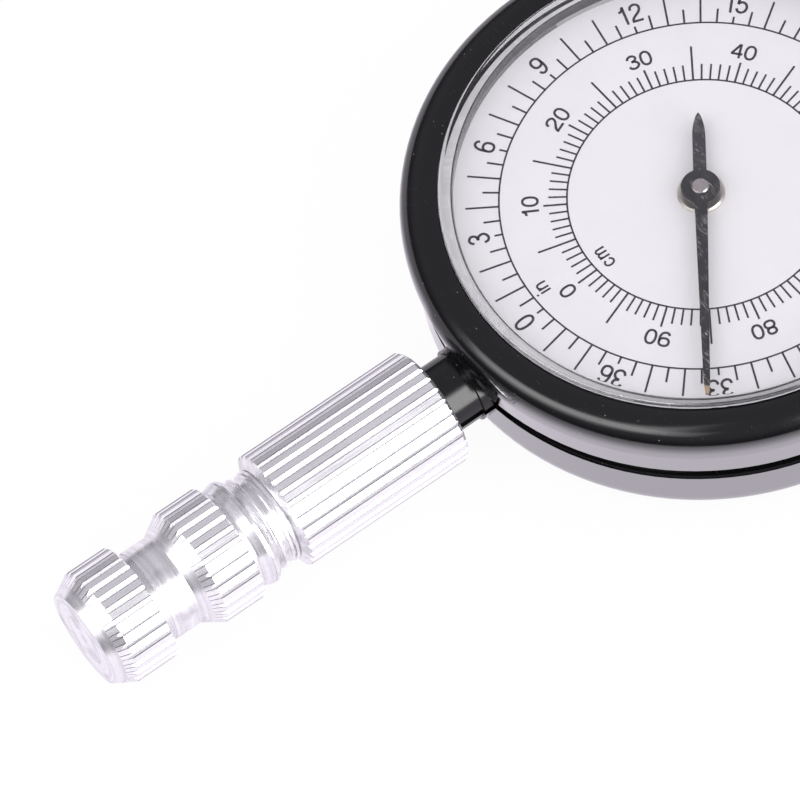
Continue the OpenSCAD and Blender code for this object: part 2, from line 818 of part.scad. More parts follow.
front_case();
rear_case();
crystal();
dial();
front_plate();
rear_plate();
plate_pillars();
plate_screws();
case_screws();
centre_bush();
handle();
handle_stud();
idler_pin();
front_nose_bush();
rear_nose_bush();
tracing_wheel();
tracing_arbor();
tracing_pinion();
idler_wheel();
intermediate_arbor();
intermediate_wheel();
intermediate_pinion();
centre_arbor();
centre_wheel();
pointer_collet();
pointer();
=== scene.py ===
from math import cos, pi, radians, sin

import bmesh
import bpy
from mathutils import Matrix, Vector


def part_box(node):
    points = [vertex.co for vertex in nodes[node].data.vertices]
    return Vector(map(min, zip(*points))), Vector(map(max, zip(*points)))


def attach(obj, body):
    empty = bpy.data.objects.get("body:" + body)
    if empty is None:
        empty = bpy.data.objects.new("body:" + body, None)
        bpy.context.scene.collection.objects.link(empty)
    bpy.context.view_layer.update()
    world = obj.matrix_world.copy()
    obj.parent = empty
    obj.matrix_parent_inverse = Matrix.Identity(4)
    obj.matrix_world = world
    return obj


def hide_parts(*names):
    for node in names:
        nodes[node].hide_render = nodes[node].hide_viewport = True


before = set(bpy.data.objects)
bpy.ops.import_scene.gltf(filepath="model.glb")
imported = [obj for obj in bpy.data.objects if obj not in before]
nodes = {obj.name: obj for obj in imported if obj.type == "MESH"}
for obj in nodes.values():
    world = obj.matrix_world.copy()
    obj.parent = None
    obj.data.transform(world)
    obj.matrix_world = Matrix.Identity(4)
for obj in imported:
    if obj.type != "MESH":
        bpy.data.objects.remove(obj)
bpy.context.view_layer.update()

# The camera looks down on the measurer as it lies on its back, through a long lens, from the
# right of the handle, so that the handle runs down to the left of the picture.
camera_data = bpy.data.cameras.new("camera")
camera_data.sensor_width = 36.0
camera_data.lens = 371.8
camera_data.clip_start = 0.05
camera = bpy.data.objects.new("camera", camera_data)
camera.location = (0.243258, -0.152760, 0.476871)
camera.rotation_euler = (radians(30.010), radians(4.7936), radians(54.035))
bpy.context.scene.collection.objects.link(camera)
bpy.context.scene.camera = camera
bpy.context.scene.view_settings.view_transform = "Standard"


# The table is a white paper sheet. Camera, gloss and glass see it as plain white, and a share of
# its own paper keeps a faint shadow round the case and the handle. In gloss the sheet's glow is a
# painted pool of light, white round the measurer and falling off into the room.
def new_material(name):
    material = bpy.data.materials.new(name)
    material.use_nodes = True
    tree = material.node_tree
    tree.nodes.clear()
    return material, tree, tree.nodes.new("ShaderNodeOutputMaterial")


def link(tree, source, target):
    tree.links.new(source, target)


def feed(tree, value, socket):
    if isinstance(value, (int, float)):
        socket.default_value = value
    else:
        link(tree, value, socket)


def maths(tree, operation, first, second=0.0, clamp=False):
    node = tree.nodes.new("ShaderNodeMath")
    node.operation = operation
    node.use_clamp = clamp
    for socket, value in zip(node.inputs, (first, second)):
        feed(tree, value, socket)
    return node.outputs[0]


def colour_mix(tree, share, first, second):
    node = tree.nodes.new("ShaderNodeMix")
    node.data_type = "RGBA"
    link(tree, share, node.inputs[0])
    for socket, value in ((node.inputs[6], first), (node.inputs[7], second)):
        if isinstance(value, tuple):
            socket.default_value = (*value, 1)
        else:
            link(tree, value, socket)
    return node.outputs[2]


def scaled(tree, vector, factor):
    node = tree.nodes.new("ShaderNodeVectorMath")
    node.operation = "SCALE"
    link(tree, vector, node.inputs[0])
    feed(tree, factor, node.inputs["Scale"])
    return node.outputs[0]


def millimetres(tree):
    """The place on the piece, in millimetres."""
    return scaled(tree, tree.nodes.new("ShaderNodeTexCoord").outputs["Object"], 1000.0)


def coordinates(tree, vector):
    parts = tree.nodes.new("ShaderNodeSeparateXYZ")
    link(tree, vector, parts.inputs[0])
    return parts.outputs["X"], parts.outputs["Y"], parts.outputs["Z"]


def distance(tree, first, second):
    squares = [maths(tree, "POWER", side, 2.0) for side in (first, second)]
    return maths(tree, "SQRT", maths(tree, "ADD", *squares))


def shaped(tree, value, low, high, out_low=0.0, out_high=1.0):
    """Eases from out_low to out_high as the value goes from low to high."""
    ramp = tree.nodes.new("ShaderNodeMapRange")
    ramp.interpolation_type = "SMOOTHSTEP"
    for label, number in (("From Min", low), ("From Max", high), ("To Min", out_low),
                          ("To Max", out_high)):
        ramp.inputs[label].default_value = number
    link(tree, value, ramp.inputs["Value"])
    return ramp.outputs["Result"]


def white_sheet():
    paper_share = 0.05
    plain_white, mirrored_white = (1, 1, 1), (0.94, 0.885, 0.985)
    # the glow that gloss sees is a painted pool of light round the measurer, an oval in
    # millimetres, drawn out along the handle
    pool_y, pool_squeeze = -12.0, 0.7
    pool_edge, pool_full, beyond_pool = 62.0, 30.0, 0.15
    material, tree, output = new_material("white_sheet")
    paper = tree.nodes.new("ShaderNodeBsdfDiffuse")
    paper.inputs["Color"].default_value = (0.93, 0.90, 0.95, 1)
    glow = tree.nodes.new("ShaderNodeEmission")
    path = tree.nodes.new("ShaderNodeLightPath")
    link(tree, colour_mix(tree, path.outputs["Is Camera Ray"], mirrored_white, plain_white),
         glow.inputs["Color"])
    x, y, _ = coordinates(tree, millimetres(tree))
    along = maths(tree, "MULTIPLY", maths(tree, "ADD", y, -pool_y), pool_squeeze)
    # painted light: gloss sees the sheet's white glow only in this pool round the measurer
    pool = shaped(tree, distance(tree, x, along), pool_edge, pool_full, beyond_pool, 1.0)
    gloss = maths(tree, "MULTIPLY", path.outputs["Is Glossy Ray"], pool)
    seen = maths(tree, "ADD", path.outputs["Is Camera Ray"], gloss)
    seen = maths(tree, "ADD", seen, path.outputs["Is Transmission Ray"], clamp=True)
    mix = tree.nodes.new("ShaderNodeMixShader")
    link(tree, maths(tree, "MULTIPLY", seen, 1 - paper_share), mix.inputs[0])
    link(tree, paper.outputs[0], mix.inputs[1])
    link(tree, glow.outputs[0], mix.inputs[2])
    link(tree, mix.outputs[0], output.inputs["Surface"])
    return material


def mesh_object(name, shape, material):
    mesh = bpy.data.meshes.new(name)
    shape.to_mesh(mesh)
    shape.free()
    mesh.materials.append(material)
    made = bpy.data.objects.new(name, mesh)
    bpy.context.scene.collection.objects.link(made)
    return made


half_sheet = 1.5
below_case = 0.00005
sheet = bmesh.new()
bmesh.ops.create_grid(sheet, x_segments=1, y_segments=1, size=half_sheet,
                      matrix=Matrix.Translation((0, 0, -below_case)))
table = mesh_object("table", sheet, white_sheet())


# The studio is a room with dim walls, a grey ceiling and two large soft boxes: one stands low on
# the right and one hangs over the handle's side. Gloss sees all of it, with the boxes' cloth
# brightest. Matt surfaces get an even white light from the room, and the camera sees white.
def window(tree, value, low, rise, fall, high):
    """1 from rise to fall, easing down to 0 at low and at high."""
    return maths(tree, "MULTIPLY", shaped(tree, value, low, rise), shaped(tree, value, high, fall))


def room():
    dim_wall, grey_ceiling = (0.11, 0.105, 0.12), (0.47, 0.45, 0.50)
    even_white, plain_white = (1.0, 0.985, 1.015), (1, 1, 1)
    right_strength, over_strength, lost_in_glass = 5.0, 3.4, 0.15
    # each cloth's edges, round the room in radians and then upwards
    right_round, right_up = (-0.06, 0.10, 0.62, 0.82), (-0.01, 0.02, 0.74, 0.88)
    over_round, over_up, over_slant = (-2.25, -1.80, -1.05, -0.75), (0.84, 1.12, 1.22, 1.38), 0.30
    world = bpy.data.worlds.new("room")
    bpy.context.scene.world = world
    world.use_nodes = True
    tree = world.node_tree
    tree.nodes.clear()
    output = tree.nodes.new("ShaderNodeOutputWorld")
    x, y, high = coordinates(tree, tree.nodes.new("ShaderNodeTexCoord").outputs["Generated"])
    wall = colour_mix(tree, shaped(tree, high, 0.0, 0.6), dim_wall, grey_ceiling)
    turn = maths(tree, "ARCTAN2", y, x)
    right = maths(tree, "MULTIPLY", window(tree, turn, *right_round),
                  window(tree, high, *right_up))
    slant = maths(tree, "SUBTRACT", high, maths(tree, "MULTIPLY", turn, over_slant))
    over = maths(tree, "MULTIPLY", window(tree, turn, *over_round),
                 window(tree, slant, *over_up))
    cloth = maths(tree, "ADD", maths(tree, "MULTIPLY", right, right_strength),
                  maths(tree, "MULTIPLY", over, over_strength))
    glow = tree.nodes.new("ShaderNodeVectorMath")
    glow.operation = "ADD"
    link(tree, wall, glow.inputs[0])
    link(tree, cloth, glow.inputs[1])
    path = tree.nodes.new("ShaderNodeLightPath")
    through = maths(tree, "MULTIPLY", path.outputs["Is Transmission Ray"], lost_in_glass)
    gloss = maths(tree, "SUBTRACT", path.outputs["Is Glossy Ray"], through, clamp=True)
    seen = colour_mix(tree, gloss, even_white, glow.outputs[0])
    seen = colour_mix(tree, path.outputs["Is Camera Ray"], seen, plain_white)
    shown = tree.nodes.new("ShaderNodeBackground")
    link(tree, seen, shown.inputs["Color"])
    link(tree, shown.outputs[0], output.inputs["Surface"])


def soft_box(name, azimuth, elevation, turn, size, radiance):
    stand_off = 0.5
    data = bpy.data.lights.new(name, "AREA")
    data.shape = "RECTANGLE"
    data.size, data.size_y = size
    data.energy = radiance * pi * size[0] * size[1]
    data.color = (1.0, 0.985, 1.0)
    lamp = bpy.data.objects.new(name, data)
    high = radians(elevation)
    lamp.location = stand_off * Vector((cos(high) * cos(radians(azimuth)),
                                        cos(high) * sin(radians(azimuth)), sin(high)))
    aim = (-lamp.location).to_track_quat("-Z", "Y").to_matrix()
    lamp.rotation_euler = (aim @ Matrix.Rotation(radians(turn), 3, "Z")).to_euler()
    bpy.context.scene.collection.objects.link(lamp)


room()
soft_box("right_box", azimuth=21, elevation=28, turn=0, size=(0.38, 0.40), radiance=1.75)
soft_box("handle_box", azimuth=276, elevation=48, turn=14, size=(0.56, 0.15), radiance=1.6)


# Case halves: two black mouldings with a rolled rim, screwed together from the back. They are
# gloss black plastic with hairline scratches, grains of dust and the cloud of wiping.
def noise(tree, vector, scale, detail=2.0, rough=0.5):
    node = tree.nodes.new("ShaderNodeTexNoise")
    node.inputs["Scale"].default_value = scale
    node.inputs["Detail"].default_value = detail
    node.inputs["Roughness"].default_value = rough
    link(tree, vector, node.inputs["Vector"])
    return node.outputs["Fac"]


def group_tree(name, inputs, outputs):
    tree = bpy.data.node_groups.new(name, "ShaderNodeTree")
    for label, value in inputs:
        kind = "NodeSocketVector" if value is None else "NodeSocketFloat"
        socket = tree.interface.new_socket(label, in_out="INPUT", socket_type=kind)
        if value is not None:
            socket.default_value = value
    for label in outputs:
        tree.interface.new_socket(label, in_out="OUTPUT", socket_type="NodeSocketFloat")
    return tree, tree.nodes.new("NodeGroupInput"), tree.nodes.new("NodeGroupOutput")


def handling_marks_group():
    tree, given, result = group_tree(
        "handling_marks", (("Scratches", 0.5), ("Dust", 0.5), ("Cloud", 0.5), ("Fine", 1.0)),
        ("Scratch Mask", "Dust Mask", "Cloud Mask", "Height"))
    hair_stretch, hair_low, hair_high = (0.45, 13.0, 13.0), 0.765, 0.805
    grains_per_mm, grain_edge, grain_core = 1.7, 0.12, 0.06
    mm = scaled(tree, millimetres(tree), given.outputs["Fine"])
    more = maths(tree, "MULTIPLY", given.outputs["Scratches"], 0.06)
    lines = 0.0
    for turn, shift in ((24.0, 3.1), (-57.0, 11.7), (71.0, 29.3)):
        mapping = tree.nodes.new("ShaderNodeMapping")
        mapping.inputs["Rotation"].default_value = (0.3, 0.2, radians(turn))
        mapping.inputs["Location"].default_value = (shift, shift, shift)
        mapping.inputs["Scale"].default_value = hair_stretch
        link(tree, mm, mapping.inputs["Vector"])
        line = shaped(tree, maths(tree, "ADD", noise(tree, mapping.outputs[0], 1.0, 1.0), more),
                      hair_low, hair_high)
        lines = maths(tree, "MAXIMUM", line, lines)
    patchy = shaped(tree, noise(tree, mm, 0.45, 2.0), 0.42, 0.60)
    scratch = maths(tree, "MULTIPLY", maths(tree, "MULTIPLY", lines, patchy),
                    given.outputs["Scratches"], clamp=True)
    cells = tree.nodes.new("ShaderNodeTexVoronoi")
    cells.inputs["Scale"].default_value = grains_per_mm
    link(tree, mm, cells.inputs["Vector"])
    chosen = tree.nodes.new("ShaderNodeSeparateColor")
    link(tree, cells.outputs["Color"], chosen.inputs[0])
    reach = maths(tree, "DIVIDE", cells.outputs["Distance"], given.outputs["Dust"])
    grain = maths(tree, "MULTIPLY", shaped(tree, reach, grain_edge, grain_core),
                  shaped(tree, chosen.outputs[0], 0.60, 0.75))
    dust = maths(tree, "MULTIPLY", grain, 0.8)
    cloud = maths(tree, "MULTIPLY", shaped(tree, noise(tree, mm, 0.22, 4.0, 0.6), 0.35, 0.7),
                  given.outputs["Cloud"])
    height = maths(tree, "SUBTRACT", maths(tree, "MULTIPLY", dust, 0.6),
                   maths(tree, "MULTIPLY", scratch, 0.4))
    for label, value in (("Scratch Mask", scratch), ("Dust Mask", dust), ("Cloud Mask", cloud),
                         ("Height", height)):
        link(tree, value, result.inputs[label])
    return tree


def place_group(tree, group, **values):
    node = tree.nodes.new("ShaderNodeGroup")
    node.node_tree = group
    for label, value in values.items():
        node.inputs[label.replace("_", " ")].default_value = value
    return node


def surface(tree, output, **values):
    shader = tree.nodes.new("ShaderNodeBsdfPrincipled")
    for label, value in values.items():
        shader.inputs[label.replace("_", " ")].default_value = value
    link(tree, shader.outputs[0], output.inputs["Surface"])
    return shader


def bump(tree, shader, height, depth_mm, strength, under=None):
    node = tree.nodes.new("ShaderNodeBump")
    node.inputs["Strength"].default_value = strength
    node.inputs["Distance"].default_value = depth_mm / 1000
    link(tree, height, node.inputs["Height"])
    if under is not None:
        link(tree, under, node.inputs["Normal"])
    link(tree, node.outputs[0], shader.inputs["Normal"])
    return node.outputs[0]


handling_marks = handling_marks_group()


def split_place(tree, vector):
    """The radius from the case's axis and the x, y and z of a place, in millimetres."""
    x, y, z = coordinates(tree, vector)
    return distance(tree, x, y), x, y, z


def gloss_black_moulding():
    deep_black = (0.0025, 0.0024, 0.003)
    scratched, dusted = (0.05, 0.048, 0.052), (0.20, 0.19, 0.20)
    # millimetres: the side wall's edges in height and radius, and the neck that it leaves out
    wall_up, wall_out = (0.3, 1.3, 8.2, 9.15), (19.2, 19.3, 20.15, 20.3)
    neck_half, neck_clear, neck_top, neck_side = 3.0, 4.4, 4.5, 4.3
    material, tree, output = new_material("gloss_black_moulding")
    shader = surface(tree, output, Coat_IOR=4.0, Coat_Roughness=0.08)
    marks = place_group(tree, handling_marks, Scratches=0.5, Dust=0.8, Cloud=0.8)
    worn = colour_mix(tree, marks.outputs["Scratch Mask"], deep_black, scratched)
    link(tree, colour_mix(tree, marks.outputs["Dust Mask"], worn, dusted),
         shader.inputs["Base Color"])
    wiped = maths(tree, "MULTIPLY", marks.outputs["Cloud Mask"], 0.07)
    dusty = maths(tree, "MULTIPLY", marks.outputs["Dust Mask"], 0.5)
    link(tree, maths(tree, "ADD", maths(tree, "ADD", wiped, dusty), 0.11),
         shader.inputs["Roughness"])
    # the side wall mirrors the white table, by a coat that is stronger than plain plastic's
    radius, x, y, height = split_place(tree, millimetres(tree))
    wall = maths(tree, "MULTIPLY", window(tree, height, *wall_up),
                 window(tree, radius, *wall_out))
    beside = shaped(tree, maths(tree, "ABSOLUTE", x), neck_half, neck_clear)
    away = maths(tree, "MAXIMUM", shaped(tree, y, -1.0, 1.0),
                 shaped(tree, height, neck_top, neck_side))
    link(tree, maths(tree, "MULTIPLY", wall, maths(tree, "MAXIMUM", beside, away)),
         shader.inputs["Coat Weight"])
    peel = bump(tree, shader, noise(tree, millimetres(tree), 0.9, 2.0), 0.004, 0.5)
    bump(tree, shader, marks.outputs["Height"], 0.02, 0.6, peel)
    return material


def finish_node(material, *names):
    for name in names:
        mesh = nodes[name].data
        mesh.materials.clear()
        mesh.materials.append(material)


finish_node(gloss_black_moulding(), "front_case", "rear_case")


# Movement frame, train and screws: plates, wheels and pinions of machined brass, pillars between
# the plates, and turned steel arbors and screws. Four screw heads show on the back, and the
# tracing wheel stands out of the nose.
def joined(tree, x, y, z):
    node = tree.nodes.new("ShaderNodeCombineXYZ")
    for socket, value in zip(node.inputs, (x, y, z)):
        feed(tree, value, socket)
    return node.outputs[0]


def turned_marks_group():
    wander = 0.05
    tree, given, result = group_tree("turned_marks", (("Vector", None), ("Pitch", 4.0)),
                                     ("Rings", "Streaks"))
    radius, x, y, z = split_place(tree, given.outputs["Vector"])
    outward = maths(tree, "ADD", maths(tree, "MULTIPLY", radius, given.outputs["Pitch"]),
                    maths(tree, "MULTIPLY", x, wander))
    place = joined(tree, outward, maths(tree, "MULTIPLY", z, given.outputs["Pitch"]),
                   maths(tree, "MULTIPLY", y, wander))
    link(tree, noise(tree, place, 1.0, 2.0), result.inputs["Rings"])
    link(tree, noise(tree, place, 0.3, 2.0), result.inputs["Streaks"])
    return tree


turned_marks = turned_marks_group()


def turned_metal(name, colour, darker, roughness, pitch=4.0, depth=0.003):
    material, tree, output = new_material(name)
    shader = surface(tree, output, Metallic=1.0)
    rings = place_group(tree, turned_marks, Pitch=pitch)
    link(tree, millimetres(tree), rings.inputs["Vector"])
    marks = place_group(tree, handling_marks, Scratches=0.4, Dust=0.15, Cloud=0.8)
    base = colour_mix(tree, shaped(tree, rings.outputs["Streaks"], 0.35, 0.70), colour, darker)
    link(tree, colour_mix(tree, marks.outputs["Scratch Mask"], base,
                          tuple(0.55 * c for c in colour)), shader.inputs["Base Color"])
    wiped = maths(tree, "MULTIPLY", marks.outputs["Cloud Mask"], 0.05)
    cut = shaped(tree, rings.outputs["Rings"], 0.3, 0.7, roughness - 0.04, roughness + 0.06)
    link(tree, maths(tree, "ADD", wiped, cut), shader.inputs["Roughness"])
    below = bump(tree, shader, rings.outputs["Rings"], depth, 0.8)
    bump(tree, shader, marks.outputs["Height"], 0.01, 0.5, below)
    return material


brass = turned_metal("machined_brass", (0.78, 0.60, 0.28), (0.64, 0.47, 0.20), roughness=0.26)
finish_node(brass, "front_plate", "rear_plate", "plate_pillars", "front_nose_bush",
            "rear_nose_bush", "tracing_pinion", "idler_wheel", "intermediate_wheel",
            "intermediate_pinion", "centre_wheel")
steel = turned_metal("turned_steel", (0.64, 0.64, 0.65), (0.48, 0.48, 0.49), roughness=0.22)
finish_node(steel, "handle_stud", "idler_pin", "case_screws", "plate_screws",
            "intermediate_arbor", "tracing_arbor", "tracing_wheel")


# Handle: bright aluminium bar, turned and faced, grooved behind the grip, fluted in three bands
# and screwed onto the neck's stud. Turning marks run round it, and the cutter's fine streaks run
# along the bands. A painted shade lies as a dark line along the edges of the flutes.
def turned_aluminium():
    # millimetres: the bar's axis over the table, each band's ends, how softly the bands end, and
    # the radii between which their flutes begin
    axis_z, flutes = 4.4, 30
    band_ends, run_out = ((-35.35, -22.55), (-43.0, -39.2), (-50.1, -46.3)), 0.03
    flute_root, flute_side = 3.6, 3.8
    # a flute's edge, where the painted shade lies, in shares of one flute's width from its middle
    flute_edge = (0.165, 0.215, 0.235, 0.275)
    across_grain, along_grain = 9.0, 0.15
    material, tree, output = new_material("turned_aluminium")
    shader = surface(tree, output, Metallic=0.85)
    x, y, z = coordinates(tree, millimetres(tree))
    up = maths(tree, "SUBTRACT", z, axis_z)
    bands = 0.0
    for low, high in band_ends:
        band = window(tree, y, low - run_out, low + run_out, high - run_out, high + run_out)
        bands = maths(tree, "MAXIMUM", band, bands)
    bands = maths(tree, "MULTIPLY", bands,
                  shaped(tree, distance(tree, x, up), flute_root, flute_side))
    turn = maths(tree, "MULTIPLY", maths(tree, "ARCTAN2", up, x), flutes / (2 * pi))
    from_middle = maths(tree, "ABSOLUTE", maths(tree, "SUBTRACT", turn,
                                                maths(tree, "ROUND", turn)))
    edge = window(tree, from_middle, *flute_edge)
    rings = place_group(tree, turned_marks, Pitch=7.0)
    link(tree, joined(tree, x, up, y), rings.inputs["Vector"])
    stretched = [maths(tree, "MULTIPLY", value, stretch) for value, stretch in
                 ((x, across_grain), (up, across_grain), (y, along_grain))]
    streaks = noise(tree, joined(tree, *stretched), 1.0, 3.0)
    marks = place_group(tree, handling_marks, Scratches=0.3, Dust=0.15, Cloud=0.8)
    lie = tree.nodes.new("ShaderNodeMix")
    for socket, value in ((0, bands), (2, rings.outputs["Rings"]), (3, streaks)):
        link(tree, value, lie.inputs[socket])
    turned_bright, turned_dark = (0.95, 0.945, 0.96), (0.70, 0.69, 0.72)
    cut_bright, cut_dark = (0.97, 0.965, 0.98), (0.86, 0.855, 0.88)
    dull_patch, scratch_grey = (0.42, 0.415, 0.44), (0.52, 0.51, 0.53)
    flute_shade_grey = (0.15, 0.148, 0.165)
    base = colour_mix(tree, shaped(tree, rings.outputs["Streaks"], 0.40, 0.75),
                      turned_bright, turned_dark)
    dull = shaped(tree, noise(tree, millimetres(tree), 0.55, 3.0), 0.50, 0.68)
    base = colour_mix(tree, maths(tree, "MULTIPLY", dull, 0.5), base, dull_patch)
    fluted = colour_mix(tree, shaped(tree, streaks, 0.45, 0.70), cut_bright, cut_dark)
    base = colour_mix(tree, bands, base, fluted)
    # painted shade: a dark grey line along each flute's edge in the bands, broken up by the
    # streaks
    painted_flute_shade = maths(tree, "MULTIPLY", maths(tree, "MULTIPLY", edge, bands),
                  shaped(tree, streaks, 0.25, 0.55, 0.60, 1.0))
    base = colour_mix(tree, painted_flute_shade, base, flute_shade_grey)
    link(tree, colour_mix(tree, marks.outputs["Scratch Mask"], base, scratch_grey),
         shader.inputs["Base Color"])
    wiped = maths(tree, "MULTIPLY", marks.outputs["Cloud Mask"], 0.05)
    link(tree, maths(tree, "ADD", shaped(tree, lie.outputs[0], 0.3, 0.7, 0.21, 0.29), wiped),
         shader.inputs["Roughness"])
    below = bump(tree, shader, lie.outputs[0], 0.002, 0.7)
    bump(tree, shader, marks.outputs["Height"], 0.01, 0.5, below)
    return material


finish_node(turned_aluminium(), "handle")


# Dial: thin metal plate painted satin white for printing. It lies on the ledge in the front
# case's window, and the crystal's skirt stands on its edge.
def dial_ground():
    shade_white, plain_ground = (0.925, 0.91, 0.945), (0.945, 0.933, 0.962)
    material, tree, output = new_material("dial_white")
    shader = surface(tree, output)
    mm = millimetres(tree)
    mottle = shaped(tree, noise(tree, mm, 0.35, 3.0), 0.3, 0.7)
    link(tree, colour_mix(tree, mottle, shade_white, plain_ground), shader.inputs["Base Color"])
    link(tree, shaped(tree, noise(tree, mm, 2.5, 3.0), 0.3, 0.7, 0.45, 0.55),
         shader.inputs["Roughness"])
    bump(tree, shader, noise(tree, mm, 6.0, 2.0), 0.002, 0.3)
    return material


finish_node(dial_ground(), "dial")


# Scales: two rings of marks and figures printed on the dial in dark grey ink, 39 units outside
# and 100 inside, both clockwise from a zero near the handle.
def printing_ink():
    material, tree, output = new_material("dark_grey_ink")
    shader = surface(tree, output)
    mm = millimetres(tree)
    thin = shaped(tree, noise(tree, mm, 5.0, 3.0), 0.42, 0.75)
    link(tree, colour_mix(tree, thin, (0.026, 0.027, 0.036), (0.050, 0.051, 0.064)),
         shader.inputs["Base Color"])
    link(tree, shaped(tree, noise(tree, mm, 3.0), 0.3, 0.7, 0.45, 0.60),
         shader.inputs["Roughness"])
    return material


ink = printing_ink()
face_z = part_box("dial")[1][2]
ink_t = 0.000012
zero_angle = radians(272.4)
outer_units, inner_units = 39, 100
outer_r = 0.0135
inner_r = 0.663 * outer_r


def tick_ring_tree():
    tree = bpy.data.node_groups.new("tick_ring", "GeometryNodeTree")
    tree.interface.new_socket("Geometry", in_out="OUTPUT", socket_type="NodeSocketGeometry")
    tree.interface.new_socket("Count", in_out="INPUT", socket_type="NodeSocketInt")
    for label in ("Start Angle", "Inner Radius", "Length", "Width", "Thickness", "Height"):
        tree.interface.new_socket(label, in_out="INPUT", socket_type="NodeSocketFloat")
    tree.interface.new_socket("Ink", in_out="INPUT", socket_type="NodeSocketMaterial")
    make = tree.nodes.new
    given, result = make("NodeGroupInput"), make("NodeGroupOutput")
    points = make("GeometryNodePoints")
    link(tree, given.outputs["Count"], points.inputs["Count"])
    step = maths(tree, "DIVIDE", 2 * pi, given.outputs["Count"])
    turned = maths(tree, "MULTIPLY", make("GeometryNodeInputIndex").outputs[0], step)
    angle = maths(tree, "SUBTRACT", given.outputs["Start Angle"], turned)
    middle = maths(tree, "ADD", given.outputs["Inner Radius"],
                   maths(tree, "MULTIPLY", given.outputs["Length"], 0.5))
    where = joined(tree, maths(tree, "MULTIPLY", maths(tree, "COSINE", angle), middle),
                   maths(tree, "MULTIPLY", maths(tree, "SINE", angle), middle),
                   given.outputs["Height"])
    placed = make("GeometryNodeSetPosition")
    link(tree, points.outputs[0], placed.inputs["Geometry"])
    link(tree, where, placed.inputs["Position"])
    size = [given.outputs[label] for label in ("Length", "Width", "Thickness")]
    tick = make("GeometryNodeMeshCube")
    link(tree, joined(tree, *size), tick.inputs["Size"])
    copies = make("GeometryNodeInstanceOnPoints")
    link(tree, placed.outputs[0], copies.inputs["Points"])
    link(tree, tick.outputs["Mesh"], copies.inputs["Instance"])
    link(tree, joined(tree, 0.0, 0.0, angle), copies.inputs["Rotation"])
    real = make("GeometryNodeRealizeInstances")
    link(tree, copies.outputs[0], real.inputs[0])
    inked = make("GeometryNodeSetMaterial")
    link(tree, real.outputs[0], inked.inputs["Geometry"])
    link(tree, given.outputs["Ink"], inked.inputs["Material"])
    link(tree, inked.outputs[0], result.inputs[0])
    return tree


def grown(name, tree, **values):
    carrier = bpy.data.objects.new(name, bpy.data.meshes.new(name))
    bpy.context.scene.collection.objects.link(carrier)
    modifier = carrier.modifiers.new(name, "NODES")
    modifier.node_group = tree
    for item in tree.interface.items_tree:
        label = item.name.replace(" ", "_")
        if item.in_out == "INPUT" and label in values:
            modifier[item.identifier] = values[label]
    bpy.context.view_layer.update()
    graph = bpy.context.evaluated_depsgraph_get()
    mesh = bpy.data.meshes.new_from_object(carrier.evaluated_get(graph), depsgraph=graph)
    bpy.data.objects.remove(carrier)
    return mesh


tick_ring = tick_ring_tree()
printed = bmesh.new()


def ticks(copies, offset, units, inner, reach, width=0.00014):
    """A ring of marks from a circle out to reach, in shares of the outer circle's radius."""
    mesh = grown("ticks", tick_ring, Count=copies, Width=width, Thickness=ink_t, Ink=ink,
                 Start_Angle=zero_angle - 2 * pi * offset / units, Inner_Radius=inner,
                 Length=reach * outer_r - inner, Height=face_z + ink_t / 2)
    printed.from_mesh(mesh)
    bpy.data.meshes.remove(mesh)


# outer scale: figures every third unit over a short mark, long marks for the other units, and
# middling marks for the halves
for offset, reach in ((0, 1.041), (1, 1.167), (2, 1.167)):
    ticks(outer_units // 3, offset, outer_units, outer_r, reach)
ticks(outer_units, 0.5, outer_units, outer_r, 1.083)
# inner scale: figures every tenth unit over a middling mark, long marks for the fives, and short
# fine marks for the rest
ticks(inner_units // 10, 0, inner_units, inner_r, 0.781)
ticks(inner_units // 10, 5, inner_units, inner_r, 0.862)
for unit in (1, 2, 3, 4, 6, 7, 8, 9):
    ticks(inner_units // 10, unit, inner_units, inner_r, 0.755, 0.00013)


def strip(shape, path, width, closed, place):
    """A stroke of even width along a path of points, printed at its place on the dial."""
    count = len(path)
    sides = []
    for i, point in enumerate(path):
        before = path[(i - 1) % count] if closed else path[max(i - 1, 0)]
        after = path[(i + 1) % count] if closed else path[min(i + 1, count - 1)]
        along = Vector((after[0] - before[0], after[1] - before[1])).normalized()
        across = Vector((-along.y, along.x)) * width / 2
        ends = [Vector(point) + across, Vector(point) - across]
        sides.append([shape.verts.new(place @ Vector((*p, z)))
                      for p in ends for z in (0.0, ink_t)])
    pairs = [(i, i + 1) for i in range(count - 1)] + ([(count - 1, 0)] if closed else [])
    for i, j in pairs:
        (a0, a1, b0, b1), (c0, c1, d0, d1) = sides[i], sides[j]
        for face in ((a1, b1, d1, c1), (a0, c0, d0, b0), (a0, a1, c1, c0), (b0, d0, d1, b1)):
            shape.faces.new(face)
    if not closed:
        for a0, a1, b0, b1 in (sides[0], sides[-1]):
            shape.faces.new((a0, b0, b1, a1))


def smooth(points, steps=6):
    """A smooth curve through the points."""
    last = len(points) - 1
    path = []
    for i in range(last):
        p = [Vector(points[min(max(i + k, 0), last)]) for k in (-1, 0, 1, 2)]
        for j in range(steps):
            t = j / steps
            path.append(0.5 * (2 * p[1] + (p[2] - p[0]) * t
                               + (2 * p[0] - 5 * p[1] + 4 * p[2] - p[3]) * t * t
                               + (3 * p[1] - p[0] - 3 * p[2] + p[3]) * t * t * t))
    return path + [Vector(points[-1])]


def oval(x, y, rx, ry, sides=28, power=0.86):
    path = []
    for i in range(sides):
        c, s = cos(2 * pi * i / sides), sin(2 * pi * i / sides)
        path.append(Vector((x + rx * abs(c) ** power * (1 if c > 0 else -1),
                            y + ry * abs(s) ** power * (1 if s > 0 else -1))))
    return path


